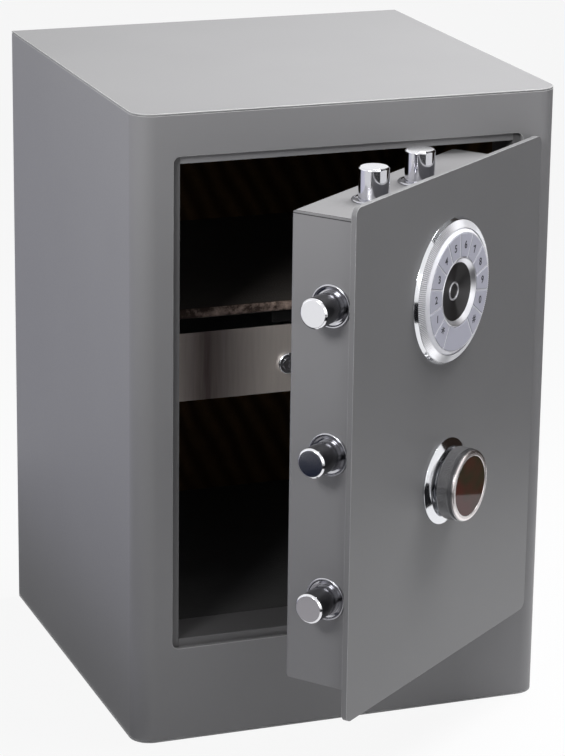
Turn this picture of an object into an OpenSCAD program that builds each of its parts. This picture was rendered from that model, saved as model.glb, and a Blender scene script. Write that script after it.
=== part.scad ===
// Home safe with its door ajar: a welded steel body, a thick door plate carrying
// a lock case, five round bolts thrown by one knob, and a round keypad.
// Millimetres, +Z up.  The origin is the centre of the base, on the floor.
// Inside the modules X is centred, Y runs back from the body's front face.

/* [Body] */
// Width of the body
body_w = 410; // [380:1:450]
// Depth of the body
body_d = 405; // [380:1:450]
// Height of the body
body_h = 600; // [580:1:660]
// Thickness of the body's steel sheet
wall_t = 4; // [3:0.5:5]
// Outside radius of the two upright front corners
corner_r = 20; // [16:1:24]

/* [Door opening] */
// Frame width beside the door, each side
side_margin = 36; // [34:0.5:40]
// Frame height below the door
bottom_margin = 92; // [84:1:110]
// Frame height above the door
top_margin = 40; // [36:1:52]
// Corner radius of the hole in the front sheet
opening_r = 6; // [4:0.5:8]
// Width of the ledge that the door plate closes on
ledge_w = 7.6; // [6:0.2:10]
// Thickness of the welded frame members
jamb_t = 3; // [2:0.5:4]
// Depth that the frame members reach back to
jamb_depth = 52; // [50:1:58]

/* [Door plate] */
// Gap around the closed door plate
door_gap = 1.5; // [1:0.1:2.5]
// Thickness of the door plate
plate_t = 5; // [4:0.5:6]
// Corner radius of the door plate
plate_r = 8; // [6:0.5:10]
// Angle by which the door stands open
door_open = 38; // [30:1:45]

/* [Hinges] */
// Hinge axis, in from the body's right side
hinge_in_x = 18; // [17:0.5:20]
// Hinge axis, back from the body's front face
hinge_in_y = 21; // [20:0.5:23]
// Radius of the hinge pins
hinge_pin_r = 5; // [4:0.5:6]
// Height of each hinge arm
arm_t = 10; // [8:1:14]
// Hinge arms, in from the top and the bottom of the opening
hinge_end = 60; // [50:1:80]

/* [Lock case] */
// Lock case, in from the plate's free edge
case_free_inset = 12; // [10:0.5:16]
// Lock case, in from the plate's hinge edge
case_hinge_inset = 44; // [42:0.5:50]
// Lock case, down from the plate's top edge
case_top_inset = 13.5; // [12:0.5:18]
// Lock case, up from the plate's bottom edge
case_bottom_inset = 25; // [20:0.5:30]
// Depth of the lock case behind the plate
case_depth = 68; // [66:1:76]
// Thickness of the lock case's sheet
case_t = 2; // [1.5:0.5:3]
// Outside radius of the lock case's folded back edges
fold_r = 4; // [3.5:0.5:6]
// Rear cover, in from the edges of the lock case
cover_in = 6; // [5:0.5:9]

/* [Bolts] */
// Radius of the bolts
bolt_r = 13.5; // [12:0.5:14.5]
// Bolt axes, behind the back of the door plate
bolt_back = 25; // [24:0.5:27]
// How far the thrown bolts stand out of the lock case
bolt_out = 30; // [29:0.5:31]
// Travel of the bolts from thrown to drawn back
bolt_travel = 27; // [22:0.5:28]
// Number of bolts on the free side
side_bolts_n = 3; // [2:1:3]
// Highest side bolt, down from the lock case's top
side_bolt_top_in = 78.5; // [76:0.5:84]
// Lowest side bolt, up from the lock case's bottom
side_bolt_bottom_in = 82; // [76:0.5:88]
// First top bolt, in from the plate's free edge
top_bolt_in = 80; // [76:1:90]
// Distance between the two top bolts
top_bolt_pitch = 80; // [60:1:90]

/* [Keypad] */
// Radius of the keypad's bright bezel
keypad_r = 66.5; // [64:0.5:72]
// Keypad centre, above the middle of the door plate
keypad_above = 123; // [112:0.5:128]
// Height of the keypad face above the door plate
keypad_rise = 9; // [8:0.5:12]
// Outer radius of the keys
key_r_out = 52.8; // [50:0.1:53]
// Inner radius of the keys
key_r_in = 32; // [31:0.1:36]
// Angle of the blank field at the bottom
blank_angle = 60; // [48:1:72]
// Width of the bars between the keys
key_bar = 1.3; // [1:0.1:2.5]
// Travel of a key
key_travel = 1; // [0.6:0.1:1.4]

/* [Knob] */
// Radius of the knob's front rim
knob_r = 32.3; // [30:0.1:35]
// Knob centre, below the middle of the door plate
knob_below = 55; // [52:0.5:62]
// How far the knob stands out of the door plate
knob_out = 26.5; // [24:0.5:32]
// Radius of the bevelled rose behind the knob
rose_r = 40; // [38:0.5:44]
// Radius of the knob's spindle
spindle_r = 6; // [5:0.5:7]
// Number of ribs round the grip
grip_ribs = 96; // [60:2:120]

/* [Inside] */
// Thickness of the felt lining
lining_t = 2; // [1:0.5:3]
// Underside of the shelf, above the floor
shelf_z = 384; // [360:1:400]
// Thickness of the shelf
shelf_t = 10; // [8:1:14]
// Shelf's front edge, behind the closed door
shelf_setback = 11; // [9:1:20]
// Drawer's left edge, in from the body's left side
drawer_in = 48; // [40:1:70]
// Width of the drawer front
drawer_w = 260; // [220:1:280]
// Height of the drawer front
drawer_h = 66; // [56:1:76]
// Depth of the drawer tray
drawer_d = 245; // [200:1:260]
// Gap between the drawer front and the shelf
drawer_drop = 13.5; // [12:0.5:18]
// Lock of the drawer, up from its lower edge
drawer_lock_up = 28; // [26:0.5:34]

/* [Anchors] */
// Radius of the anchor holes in the back
anchor_r = 6; // [5:0.5:8]
// Distance between the anchor holes
anchor_pitch = 200; // [150:1:240]
// Height of the anchor holes
anchor_z = 480; // [440:1:520]

/* [Hidden] */
$fn = 96;
over = 1;
key_names = ["star", "1", "2", "3", "4", "5", "6", "7", "8", "9", "0", "hash"];

// Clearances
seat_gap = 0.5;
run_gap = 0.05;
swing_gap = 0.45;
arm_gap = 1.1;
slot_gap = 0.3;
key_gap = 0.3;
hole_gap = 1;

// Opening in the front sheet, and the clear opening inside the ledge
open_x = body_w / 2 - side_margin;
open_z0 = bottom_margin;
open_z1 = body_h - top_margin;
rebate = plate_t + seat_gap;
clear_x = open_x - ledge_w;
clear_z0 = open_z0 + ledge_w;
clear_z1 = open_z1 - ledge_w;

// Door plate and lock case, with the door closed
plate_x = open_x - door_gap;
plate_z0 = open_z0 + door_gap;
plate_z1 = open_z1 - door_gap;
plate_mid_z = (plate_z0 + plate_z1) / 2;
case_x0 = -plate_x + case_free_inset;
case_x1 = plate_x - case_hinge_inset;
case_z0 = plate_z0 + case_bottom_inset;
case_z1 = plate_z1 - case_top_inset;
case_y1 = plate_t + case_depth;
cover_y = case_y1 - case_t;
cover_r = 3;
screw_r = 2;
screw_in = cover_in + 8;
case_lip = screw_in + 8;
seam_in = 0.4;
seam_w = 1.2;
seam_d = 0.8;
screw_xs = [case_x0 + screw_in, (case_x0 + case_x1) / 2, case_x1 - screw_in];
screw_zs = [case_z0 + screw_in, (case_z0 + case_z1) / 2, case_z1 - screw_in];
screw_spots = [for (i = [0:2], j = [0:2]) if (i != 1 || j != 1) [screw_xs[i], screw_zs[j]]];

// Hinges: the arms bend round the lip of the opening
hinge_x = body_w / 2 - hinge_in_x;
hinge_zs = [open_z0 + hinge_end, open_z1 - hinge_end];
lip_r = norm([side_margin - hinge_in_x, hinge_in_y]);
arm_r_in = norm([hinge_x - clear_x, hinge_in_y - rebate]) + arm_gap;
arm_r_out = arm_r_in + 6;
arm_w = 9;
arm_back = 80;
arm_end = 205;
foot_t = 3;
foot_y = hinge_in_y - plate_t - foot_t;
foot_x = sqrt(arm_r_in * arm_r_in - foot_y * foot_y);
foot_l = arm_r_out + 14;
foot_h = 40;
bracket_t = 5;
bracket_y = 40;

// Bolts, their bars and the cam that drives them
bolt_y = plate_t + bolt_back;
bolt_hole_r = bolt_r + hole_gap;
side_in = 32;
top_in = 22;
bar_t = 8;
bar_w = 16;
bar_over = 12;
link_t = 4;
link_w = 15;
link_y = bolt_y + bar_w / 2;
side_low = case_z0 + side_bolt_bottom_in;
side_high = case_z1 - side_bolt_top_in;
side_step = (side_high - side_low) / (side_bolts_n - 1);
side_zs = [for (i = [0:side_bolts_n - 1]) side_low + i * side_step];
top_xs = [for (i = [0:1]) -plate_x + top_bolt_in + i * top_bolt_pitch];
top_bar_z = case_z1 - top_in;
collar_r = bolt_r + 6;
collar_t = 2;
chamfer = 1.5;
knob_z = plate_mid_z - knob_below;
pin_r = 3;
pin_in = 20;
pin_out = pin_in + bolt_travel;
cam_r = pin_out + 7;
cam_t = 6;
cam_y = link_y + link_t + 4;
slot_turn = 90;
slot_step = 3;
side_slot_at = 180;
top_slot_at = 90;
notch_d = 7;
notch_w = 7;
nut_r = 10;
nut_l = 5;

// Solenoid beside the cam
coil_x0 = cam_r + 9;
coil_l = 42;
coil_w = 24;
coil_r = 11;
coil_y = cam_y + cam_t / 2;
coil_foot_t = 3;
coil_foot_w = 28;
coil_foot_h = 40;
stop_pin_l = 30;
stop_pin_out = 1;

// Battery box in the back of the lock case
battery_w = 76;
battery_h = 110;
battery_x1 = case_x1 - case_lip - 3;
battery_z1 = case_z1 - case_lip - 8;
battery_in = 26;
battery_rim = 5;

// Keypad
keypad_z = plate_mid_z + keypad_above;
base_t = 2.5;
bezel_h = 3.8;
bezel_edge = 0.6;
ring_r = keypad_r - 3.4;
ring_h = keypad_rise - 2.9;
face_r = keypad_r - 9.6;
face_bevel = 3;
key_step = (360 - blank_angle) / len(key_names);
first_key_at = 270 - blank_angle / 2 - key_step / 2;
key_proud = 0.4;
key_t = 3.2;
blank_t = 1.6;
hub_r = key_r_in - 0.8;
dish_r = hub_r - 4.8;
dish_d = 2.8;
dish_slope = 3;
spot_r = 9.6;
spot_t = 1.4;
spot_h = 2.1;
pocket_z = keypad_rise + key_proud - key_t - key_travel - 0.2;

// Knob
rose_t = 5;
rose_edge = 1.5;
neck_r = knob_r - 5;
grip_from = rose_t + seat_gap;
neck_l = 4.5;
grip_r = knob_r + 1.2;
rib_d = 0.8;
band_r = knob_r - 0.5;
band_l = 5;
rim_l = 1;
cap_r = knob_r - 3;
cap_t = 1.5;
cap_in = 0.3;

// Inside
floor_z = clear_z0;
mat_t = jamb_t;
tray_t = 2;
inner_x = body_w / 2 - wall_t - lining_t;
inner_y1 = body_d - wall_t - lining_t;
floor_y0 = bolt_y + bolt_hole_r + 2.5;
shelf_y0 = case_y1 + shelf_setback;
shelf_gap = 0.5;
shelf_edge_r = 3;
bracket_leg = 24;
bracket_sheet = 2.5;
front_x0 = -body_w / 2 + drawer_in;
front_x1 = front_x0 + drawer_w;
front_z1 = shelf_z - drawer_drop;
front_z0 = front_z1 - drawer_h;
front_t = 2;
front_return = 10;
drawer_mid = (front_x0 + front_x1) / 2;
tray_sheet = 1.5;
tray_side = 12;
tray_x = drawer_w / 2 - tray_side;
tray_y0 = shelf_y0 + front_t;
rim_w = 8;
rim_z = front_z1 - 8.5;
runner_y0 = tray_y0 + front_return + 2;
runner_t = 2;
runner_gap = 0.2;
lock_z = front_z0 + drawer_lock_up;
lock_r = 10.5;
lock_body_r = 9.3;
plug_r = 6;
keeper_gap = 1.5;
keeper_w = 30;
tongue_t = 3;
tongue_w = 12;
tongue_y = tray_y0 + 8;
tongue_l = front_z1 + keeper_gap + 5 - lock_z;

// Colours
c_coat = [0.44, 0.44, 0.45];
c_inner = [0.26, 0.26, 0.27];
c_chrome = [0.80, 0.81, 0.83];
c_steel = [0.62, 0.62, 0.64];
c_felt = [0.20, 0.17, 0.15];
c_dark = [0.10, 0.10, 0.11];
c_key = [0.62, 0.62, 0.68];

// ---------------------------------------------------------------- helpers

// Puts the front coordinates on the base's centre
module in_body() {
    translate([0, -body_d / 2, 0]) children();
}

// Swings what is drawn on the closed door to the angle at which it stands
module on_door() {
    in_body() translate([hinge_x, hinge_in_y, 0]) rotate([0, 0, door_open])
        translate([-hinge_x, -hinge_in_y, 0]) children();
}

// A box between two corners
module block(low, high) {
    translate(low) cube(high - low);
}

// A flat shape in X and Z, from y0 back to y1
module upright(y0, y1) {
    translate([0, y1, 0]) rotate([90, 0, 0]) linear_extrude(y1 - y0) children();
}

// A shape turned about an axis that leaves the door plate's face towards the front
module on_face(z) {
    translate([0, 0, z]) rotate([90, 0, 0]) children();
}

// A cylinder along Y from y0 back to y1
module y_rod(x, z, r, y0, y1) {
    translate([x, y1, z]) rotate([90, 0, 0]) cylinder(h = y1 - y0, r = r);
}

module rounded_rect(low, high, r) {
    translate(low + [r, 0]) square([high.x - low.x - 2 * r, high.y - low.y]);
    translate(low + [0, r]) square([high.x - low.x, high.y - low.y - 2 * r]);
    for (x = [low.x + r, high.x - r], y = [low.y + r, high.y - r])
        translate([x, y]) circle(r);
}

// Plan of the body, drawn in by a distance from its outside
module body_plan(inset) {
    half = body_w / 2 - inset;
    flat = body_w / 2 - corner_r;
    translate([-half, corner_r]) square([2 * half, body_d - corner_r - inset]);
    translate([-flat, inset]) square([2 * flat, corner_r]);
    for (x = [-flat, flat])
        translate([x, corner_r]) circle(corner_r - inset);
}

// ------------------------------------------------------------------- body

module front_frame() {
    color(c_coat) in_body() difference() {
        translate([0, 0, wall_t]) linear_extrude(body_h - 2 * wall_t) difference() {
            body_plan(0);
            body_plan(wall_t);
            translate([-body_w, corner_r]) square([2 * body_w, body_d]);
        }
        upright(-over, wall_t + over)
            rounded_rect([-open_x, open_z0], [open_x, open_z1], opening_r);
    }
}

module side_sheet(side) {
    color(c_coat) in_body() mirror([side > 0 ? 0 : 1, 0, 0])
        block([body_w / 2 - wall_t, corner_r, wall_t], [body_w / 2, body_d, body_h - wall_t]);
}

module end_sheet(z) {
    color(c_coat) in_body() translate([0, 0, z]) linear_extrude(wall_t) body_plan(0);
}

module back_plate() {
    half = body_w / 2 - wall_t;
    color(c_coat) in_body() difference() {
        block([-half, body_d - wall_t, wall_t], [half, body_d, body_h - wall_t]);
        for (x = [-anchor_pitch / 2, anchor_pitch / 2])
            y_rod(x, anchor_z, anchor_r, body_d - wall_t - over, body_d + over);
    }
}

// Section of a frame member: across the opening, then back
module jamb_section() {
    polygon([
        [-jamb_t, wall_t], [0, wall_t], [0, rebate], [ledge_w, rebate],
        [ledge_w, jamb_depth], [ledge_w - jamb_t, jamb_depth],
        [ledge_w - jamb_t, rebate + jamb_t], [-jamb_t, rebate + jamb_t]]);
}

module upright_jamb() {
    translate([-open_x, 0, open_z0 - jamb_t])
        linear_extrude(open_z1 - open_z0 + 2 * jamb_t) jamb_section();
}

module left_jamb() {
    color(c_inner) in_body() difference() {
        upright_jamb();
        for (z = side_zs)
            translate([-clear_x + over, bolt_y, z]) rotate([0, -90, 0])
                cylinder(h = jamb_t + 2 * over, r = bolt_hole_r);
    }
}

// The hinge arms swing through slots in the right member
module right_jamb() {
    slot_h = arm_t / 2 + 2;
    color(c_inner) in_body() difference() {
        mirror([1, 0, 0]) upright_jamb();
        for (z = hinge_zs)
            block([clear_x - over, rebate + jamb_t + 2, z - slot_h],
                [clear_x + jamb_t + over, jamb_depth + over, z + slot_h]);
    }
}

// The members across the opening fit between the two upright ones
module cross_jamb() {
    translate([clear_x, 0, 0]) rotate([0, -90, 0])
        linear_extrude(2 * clear_x) jamb_section();
}

module sill_jamb() {
    color(c_inner) in_body() translate([0, 0, open_z0]) cross_jamb();
}

module head_jamb() {
    color(c_inner) in_body() difference() {
        translate([0, 0, open_z1]) mirror([0, 0, 1]) cross_jamb();
        for (x = top_xs)
            translate([x, bolt_y, clear_z1 - over])
                cylinder(h = jamb_t + 2 * over, r = bolt_hole_r);
    }
}

// Two plates at each hinge carry the pin inside the body's front corner
module hinge_brackets() {
    bracket_x = open_x + jamb_t;
    color(c_inner) in_body()
        for (z = hinge_zs, up = [0, 1])
            translate([0, 0, up ? z + arm_t / 2 + seat_gap : z - arm_t / 2 - seat_gap - bracket_t])
                linear_extrude(bracket_t) difference() {
                    intersection() {
                        body_plan(wall_t);
                        translate([bracket_x, 0]) square([body_w / 2 - bracket_x, bracket_y]);
                    }
                    translate([hinge_x, hinge_in_y]) circle(hinge_pin_r + run_gap);
                }
}

module hinge_pins() {
    span = arm_t + 2 * (seat_gap + bracket_t);
    head_r = hinge_pin_r + 2.5;
    color(c_steel) in_body()
        for (z = hinge_zs)
            translate([hinge_x, hinge_in_y, z - span / 2]) {
                cylinder(h = span, r = hinge_pin_r);
                translate([0, 0, span]) cylinder(h = 3, r = head_r);
            }
}

// ----------------------------------------------------------------- inside

// A tray folded down at both sides, standing on the base and notched round the frame
module floor_panel() {
    half = body_w / 2 - wall_t;
    top = floor_z - mat_t;
    color(c_inner) in_body() difference() {
        block([-half, floor_y0, wall_t], [half, body_d - wall_t, top]);
        block([-half + tray_t, floor_y0 - over, wall_t - over],
            [half - tray_t, body_d, top - tray_t]);
        for (side = [0, 1])
            mirror([side, 0, 0])
                block([clear_x, floor_y0 - over, wall_t - over], [body_w, jamb_depth, top + over]);
    }
}

module floor_mat() {
    color(c_felt) in_body()
        block([-inner_x, jamb_depth, floor_z - mat_t], [inner_x, inner_y1, floor_z]);
}

module wall_linings() {
    half = body_w / 2 - wall_t;
    color(c_felt) in_body() difference() {
        block([-half, jamb_depth, floor_z - mat_t], [half, body_d - wall_t, body_h - wall_t]);
        block([-inner_x, jamb_depth - over, floor_z - mat_t - over],
            [inner_x, inner_y1, body_h - wall_t - lining_t]);
        for (x = [-anchor_pitch / 2, anchor_pitch / 2])
            y_rod(x, anchor_z, anchor_r + 3, inner_y1 - over, body_d);
    }
}

module shelf() {
    half = inner_x - shelf_gap;
    back = inner_y1 - shelf_gap;
    r = shelf_edge_r;
    color(c_felt) in_body() translate([half, 0, 0]) rotate([0, -90, 0])
        linear_extrude(2 * half) {
            translate([shelf_z, shelf_y0 + r]) square([shelf_t, back - shelf_y0 - r]);
            translate([shelf_z + r, shelf_y0]) square([shelf_t - 2 * r, r + over]);
            for (z = [shelf_z + r, shelf_z + shelf_t - r])
                translate([z, shelf_y0 + r]) circle(r);
        }
}

// Angles on both side walls under the shelf
module shelf_brackets() {
    y0 = shelf_y0 + 12;
    y1 = inner_y1 - 20;
    color(c_inner) in_body()
        for (side = [0, 1])
            mirror([side, 0, 0]) {
                block([inner_x - bracket_leg, y0, shelf_z - bracket_sheet], [inner_x, y1, shelf_z]);
                block([inner_x - bracket_sheet, y0, shelf_z - bracket_leg], [inner_x, y1, shelf_z]);
            }
}

// Channels under the shelf that the drawer's rims slide in
module drawer_runners() {
    web = tray_x + rim_w + 1;
    y1 = tray_y0 + drawer_d + 10;
    leg_z = rim_z - runner_gap;
    color(c_steel) in_body() translate([drawer_mid, 0, 0])
        for (side = [0, 1])
            mirror([side, 0, 0]) {
                block([web, runner_y0, leg_z - runner_t], [web + runner_t, y1, shelf_z]);
                block([web, runner_y0, shelf_z - runner_t], [web + 16, y1, shelf_z]);
                block([web - 7, runner_y0, leg_z - runner_t], [web + over, y1, leg_z]);
            }
}

// The angle that the drawer's lock tongue turns up behind
module drawer_keeper() {
    x0 = drawer_mid - keeper_w / 2;
    x1 = drawer_mid + keeper_w / 2;
    y0 = tongue_y - 5;
    color(c_steel) in_body() {
        block([x0, y0, front_z1 + keeper_gap], [x1, y0 + bracket_sheet, shelf_z]);
        block([x0, y0, shelf_z - bracket_sheet], [x1, y0 + 17, shelf_z]);
    }
}

// ----------------------------------------------------------------- drawer

module drawer_lock_hole() {
    y_rod(drawer_mid, lock_z, lock_body_r + run_gap, shelf_y0 - over, tray_y0 + 3 * tray_sheet);
}

module drawer_tray() {
    y1 = tray_y0 + drawer_d;
    z0 = front_z0 + 2.5;
    color(c_steel) in_body() difference() {
        union() {
            block([drawer_mid - tray_x, tray_y0, z0], [drawer_mid + tray_x, y1, rim_z + tray_sheet]);
            block([drawer_mid - tray_x - rim_w, runner_y0, rim_z],
                [drawer_mid + tray_x + rim_w, y1, rim_z + tray_sheet]);
        }
        block([drawer_mid - tray_x + tray_sheet, tray_y0 + tray_sheet, z0 + tray_sheet],
            [drawer_mid + tray_x - tray_sheet, y1 - tray_sheet, front_z1]);
        drawer_lock_hole();
    }
}

// A sheet folded back at its foot and both ends
module drawer_front() {
    y1 = tray_y0 + front_return;
    color(c_steel) in_body() difference() {
        block([front_x0, shelf_y0, front_z0], [front_x1, y1, front_z1]);
        block([front_x0 + tray_sheet, tray_y0, front_z0 + tray_sheet],
            [front_x1 - tray_sheet, y1 + over, front_z1 + over]);
        drawer_lock_hole();
    }
}

module drawer_lock_barrel() {
    color(c_chrome) in_body() translate([drawer_mid, tongue_y - 0.5, lock_z]) rotate([90, 0, 0])
        rotate_extrude() {
            length = tongue_y - 0.5 - shelf_y0;
            polygon([
                [plug_r + run_gap, 0], [lock_body_r, 0], [lock_body_r, length],
                [lock_r, length], [lock_r, length + 2], [lock_r - 1, length + 3],
                [plug_r + run_gap, length + 3]]);
        }
}

// The key plug with its tongue: unlocked, the tongue lies level
module drawer_lock_cam() {
    face_y = shelf_y0 - 3.4;
    color(c_steel) in_body() translate([drawer_mid, 0, lock_z]) {
        difference() {
            y_rod(0, 0, plug_r, face_y, tongue_y + over);
            block([-0.6, face_y - over, -3.5], [0.6, face_y + 2, 3.5]);
        }
        upright(tongue_y, tongue_y + tongue_t) {
            circle(tongue_w / 2);
            translate([0, -tongue_w / 2]) square([tongue_l - tongue_w / 2, tongue_w]);
            translate([tongue_l - tongue_w / 2, 0]) circle(tongue_w / 2);
        }
    }
}

// ------------------------------------------------------------------- door

// The plate's hinge edge is hollowed on the radius that its swing needs
module door_plate() {
    color(c_coat) on_door() difference() {
        upright(0, plate_t) rounded_rect([-plate_x, plate_z0], [plate_x, plate_z1], plate_r);
        translate([hinge_x, hinge_in_y, plate_z0 - over])
            cylinder(h = plate_z1 - plate_z0 + 2 * over, r = lip_r + swing_gap);
        y_rod(0, knob_z, spindle_r + run_gap, -over, plate_t + over);
    }
}

module arm_outline() {
    difference() {
        union() {
            circle(arm_w);
            rotate(arm_back) translate([0, -arm_w / 2]) square([arm_r_in + 3, arm_w]);
            intersection() {
                difference() {
                    circle(arm_r_out);
                    circle(arm_r_in);
                }
                polygon(concat([[0, 0]],
                    [for (a = [arm_back:25:arm_end]) 2 * arm_r_out * [cos(a), sin(a)]]));
            }
            difference() {
                translate([-foot_l, -foot_y - foot_t]) square([foot_l - foot_x + 1, foot_t + 3]);
                circle(arm_r_in);
            }
        }
        circle(hinge_pin_r + run_gap);
    }
}

// Two bent arms reach from the plate's back round the lip to the pins
module hinge_arms() {
    color(c_inner) on_door() translate([hinge_x, hinge_in_y, 0])
        for (z = hinge_zs) {
            translate([0, 0, z - arm_t / 2]) linear_extrude(arm_t) arm_outline();
            block([-foot_l, -foot_y - foot_t, z - foot_h / 2], [-foot_x - 1, -foot_y, z + foot_h / 2]);
        }
}

// Axes of the bolts through the walls of the lock case
module bolt_bores(r) {
    for (z = side_zs)
        translate([case_x0 - over, bolt_y, z]) rotate([0, 90, 0]) cylinder(h = case_t + 2 * over, r = r);
    for (x = top_xs)
        translate([x, bolt_y, case_z1 - case_t - over]) cylinder(h = case_t + 2 * over, r = r);
}

// Section of the lock case, drawn in by a distance, with its two back edges rounded
module case_section(low, high, inset) {
    straight = cover_y - plate_t - fold_r;
    translate([low + inset, plate_t - over]) square([high - low - 2 * inset, straight + over]);
    translate([low + fold_r, plate_t])
        square([high - low - 2 * fold_r, straight + fold_r - inset]);
    for (x = [low + fold_r, high - fold_r])
        translate([x, cover_y - fold_r]) circle(fold_r - inset);
}

module case_form(inset) {
    intersection() {
        translate([0, 0, case_z0 + inset]) linear_extrude(case_z1 - case_z0 - 2 * inset)
            case_section(case_x0, case_x1, inset);
        translate([case_x1 - inset, 0, 0]) rotate([0, -90, 0])
            linear_extrude(case_x1 - case_x0 - 2 * inset) case_section(case_z0, case_z1, inset);
    }
}

// The sides are welded on with an open seam along the top and the foot
module case_seams() {
    for (x = [case_x0 + seam_in, case_x1 - seam_in - seam_w], z = [case_z0, case_z1])
        block([x, plate_t - over, z - seam_d], [x + seam_w, case_y1, z + seam_d]);
}

module lock_case() {
    color(c_coat) on_door() difference() {
        case_form(0);
        case_form(case_t);
        block([case_x0 - over, 0, case_z0 - over], [case_x1 + over, plate_t, case_z1 + over]);
        block([case_x0 + case_lip, plate_t, case_z0 + case_lip],
            [case_x1 - case_lip, case_y1, case_z1 - case_lip]);
        case_seams();
        bolt_bores(bolt_r + run_gap);
        for (p = screw_spots)
            y_rod(p.x, p.y, screw_r + run_gap, cover_y - case_t - over, case_y1);
    }
}

module case_cover() {
    color(c_coat) on_door() difference() {
        upright(cover_y, case_y1) rounded_rect([case_x0 + cover_in, case_z0 + cover_in],
            [case_x1 - cover_in, case_z1 - cover_in], cover_r);
        block([battery_x1 - battery_w, cover_y - over, battery_z1 - battery_h],
            [battery_x1, case_y1 + over, battery_z1]);
        for (p = screw_spots)
            y_rod(p.x, p.y, screw_r + run_gap, cover_y - over, case_y1 + over);
    }
}

module cover_screws() {
    head_r = 4.2;
    head_t = 1.8;
    color(c_steel) on_door()
        for (p = screw_spots)
            translate([p.x, case_y1, p.y]) rotate([-90, 0, 0]) rotate_extrude()
                polygon(concat(
                    [[0, head_t], [0, -8], [screw_r, -8], [screw_r, 0], [head_r, 0]],
                    [for (a = [0:15:75]) [head_r * cos(a), 0.4 + (head_t - 0.4) * sin(a)]]));
}

module battery_box() {
    low = [battery_x1 - battery_w, battery_z1 - battery_h];
    high = [battery_x1, battery_z1];
    rim = [battery_rim, battery_rim];
    color(c_dark) on_door() difference() {
        union() {
            block([low.x, case_y1 - battery_in, low.y], [high.x, case_y1 + over, high.y]);
            upright(case_y1, case_y1 + 2) rounded_rect(low - rim, high + rim, 4);
        }
        y_rod((low.x + high.x) / 2, high.y - 12, 8, case_y1 + 0.8, case_y1 + 2 + over);
    }
}

module collar() {
    rotate_extrude() polygon([
        [bolt_r + run_gap, 0], [collar_r, 0], [collar_r, collar_t / 2],
        [collar_r - 1, collar_t], [bolt_r + run_gap, collar_t]]);
}

module bolt_collars() {
    color(c_chrome) on_door() {
        for (z = side_zs)
            translate([case_x0, bolt_y, z]) rotate([0, -90, 0]) collar();
        for (x = top_xs)
            translate([x, bolt_y, case_z1]) collar();
    }
}

// Coil between two plates, on a foot against the case's hinge side
module solenoid_body() {
    foot_from = case_x1 - case_t;
    color(c_dark) on_door() translate([0, coil_y, knob_z]) difference() {
        union() {
            translate([coil_x0, 0, 0]) rotate([0, 90, 0]) cylinder(h = coil_l, r = coil_r);
            for (x = [coil_x0, coil_x0 + coil_l - 3])
                block([x, -coil_w / 2, -coil_w / 2], [x + 3, coil_w / 2, coil_w / 2]);
            block([coil_x0 + coil_l - over, -2, -coil_w / 2], [foot_from, 2, coil_w / 2]);
            block([foot_from - coil_foot_t, -coil_foot_w / 2, -coil_foot_h / 2],
                [foot_from, coil_foot_w / 2, coil_foot_h / 2]);
        }
        translate([coil_x0 - over, 0, 0]) rotate([0, 90, 0])
            cylinder(h = stop_pin_l + 2, r = pin_r + run_gap);
    }
}

// Slides into the cam's notch when the bolts are thrown
module blocking_pin() {
    color(c_steel) on_door() translate([cam_r + stop_pin_out, coil_y, knob_z])
        rotate([0, 90, 0]) cylinder(h = stop_pin_l, r = pin_r);
}

// ----------------------------------------------------------------- keypad

// A steep bright bevel round a seat for the ring and the face
module keypad_bezel() {
    color(c_chrome) on_door() on_face(keypad_z) rotate_extrude() polygon([
        [face_r - 6, 0], [keypad_r, 0], [keypad_r, bezel_edge], [ring_r + 0.4, bezel_h],
        [ring_r, bezel_h], [ring_r, base_t], [face_r - 6, base_t]]);
}

// A sloping ring between the bezel and the face
module keypad_ring() {
    color(c_steel) on_door() on_face(keypad_z) rotate_extrude() polygon([
        [face_r + run_gap, base_t], [ring_r - run_gap, base_t], [ring_r - run_gap, bezel_h],
        [ring_r - 0.6, bezel_h + 0.5], [face_r + 0.8, ring_h], [face_r + run_gap, ring_h]]);
}

// Sector of a ring about the angle mid, kept clear of both its sides by a distance
module sector(mid, half, r_in, r_out, clear, h) {
    tip = clear / sin(half) * [cos(mid), sin(mid)];
    intersection() {
        difference() {
            cylinder(h = h, r = r_out);
            translate([0, 0, -over]) cylinder(h = h + 2 * over, r = r_in);
        }
        translate([0, 0, -over]) linear_extrude(h + 2 * over) polygon([
            tip, tip + 2 * r_out * [cos(mid - half), sin(mid - half)],
            tip + 2 * r_out * [cos(mid + half), sin(mid + half)]]);
    }
}

function key_at(i) = first_key_at - i * key_step;

// A white rim and bars, with a pocket for each key and one for the blank field
module keypad_face() {
    color("white") on_door() on_face(keypad_z) difference() {
        rotate_extrude() polygon([
            [hub_r + run_gap, base_t], [face_r, base_t], [face_r, ring_h],
            [face_r - face_bevel, keypad_rise], [hub_r + run_gap, keypad_rise]]);
        for (i = [0:len(key_names) - 1])
            translate([0, 0, pocket_z]) sector(key_at(i), key_step / 2, key_r_in - key_gap,
                key_r_out + key_gap, key_bar / 2, keypad_rise);
        translate([0, 0, keypad_rise - blank_t]) sector(270, blank_angle / 2, key_r_in - key_gap,
            key_r_out + key_gap, key_bar / 2, keypad_rise);
    }
}

module keypad_blank() {
    color(c_key) on_door() on_face(keypad_z) translate([0, 0, keypad_rise - blank_t])
        sector(270, blank_angle / 2, key_r_in, key_r_out, key_bar / 2 + key_gap, blank_t + key_proud);
}

module key(i) {
    color(c_key) on_door() on_face(keypad_z)
        translate([0, 0, keypad_rise + key_proud - key_t])
            sector(key_at(i), key_step / 2, key_r_in, key_r_out, key_bar / 2 + key_gap, key_t);
}

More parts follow.
